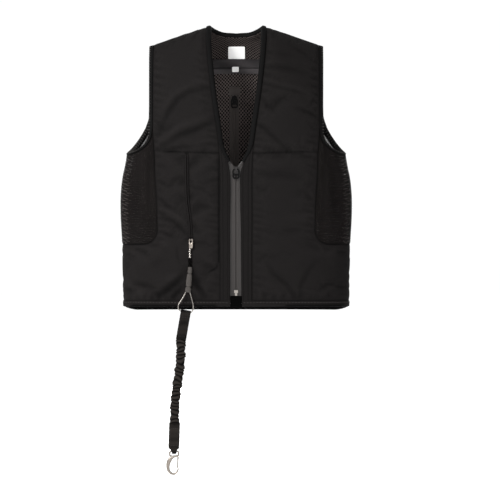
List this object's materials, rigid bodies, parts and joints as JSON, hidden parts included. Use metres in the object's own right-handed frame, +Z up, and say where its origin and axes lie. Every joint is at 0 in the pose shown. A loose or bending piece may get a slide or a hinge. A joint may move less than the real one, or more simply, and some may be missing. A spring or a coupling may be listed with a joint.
{
  "type": "airbag riding vest",
  "caption": "Sleeveless padded airbag vest in its worn form, with a V neck, a front zip, stretch mesh sides and an elastic trigger lanyard that ends in a snap hook",
  "frame": {"origin": "between the neck ends of the shoulders, just under the wall, where the wearer's shoulders carry the vest", "axes": "+Z up, the front faces -Y, the wearer's right is -X"},
  "size_m": [0.4836, 0.1914, 0.934],
  "materials": {
    "softshell": "matte near-black softshell over thin padding",
    "lining": "matte black spacer mesh",
    "side_mesh": "ribbed stretch mesh with a slight sheen",
    "binding": "black elastic binding",
    "satin": "black satin",
    "label": "plain white woven label",
    "zip_tape": "coated dark grey tape",
    "zip_metal": "dark coated metal",
    "black_plastic": "black plastic",
    "steel": "bright steel",
    "webbing": "black woven webbing",
    "sleeve": "dark grey shrink sleeve"
  },
  "bodies": {
    "vest": {"front_panel_right": "softshell", "front_panel_left": "softshell", "back_panel": "softshell", "back_lining": "lining", "side_mesh_right": "side_mesh", "side_mesh_left": "side_mesh", "neck_binding": "binding", "armhole_binding_right": "binding", "armhole_binding_left": "binding", "hem_binding": "softshell", "placket_right": "softshell", "placket_left": "softshell", "zip_tape_right": "zip_tape", "zip_tape_left": "zip_tape", "zip_coil": "black_plastic", "zip_slider": "zip_metal", "zip_stop": "steel", "zip_end_tab": "black_plastic", "neck_band": "satin", "neck_label": "label", "size_tag": "label", "lining_zip_garage": "satin", "lining_zip_tape": "zip_tape", "lining_zip_coil": "black_plastic", "lining_zip_slider": "zip_metal", "pocket_welt": "softshell", "trigger_fitting": "steel", "trigger_beads": "steel", "trigger_cord": "black_plastic", "cable_sleeve": "sleeve", "wire_ring": "steel", "lanyard_top_tab": "webbing", "lanyard_bungee": "webbing", "lanyard_end_tab": "webbing", "hook_body": "steel"},
    "front_pull": {"zip_pull": "zip_metal"},
    "lining_pull": {"lining_zip_pull": "zip_metal"},
    "gate": {"hook_gate": "steel"}
  },
  "joints": [
    {"name": "front_pull_swing", "type": "hinge", "parent": "vest", "child": "front_pull", "pos_m": [0, -0.09425, -0.2891], "axis": [-1, 0, 0], "range_deg": [0, 160]},
    {"name": "lining_pull_swing", "type": "hinge", "parent": "vest", "child": "lining_pull", "pos_m": [-0.004, 0.07477, -0.13577], "axis": [-1, 0, 0], "range_deg": [0, 150]},
    {"name": "gate_opens", "type": "hinge", "parent": "vest", "child": "gate", "pos_m": [-0.1199, -0.09, -0.8837], "axis": [0, 1, 0], "range_deg": [0, 25], "stiffness_Nm_per_rad": 0.01, "springref_deg": -17.19}
  ]
}
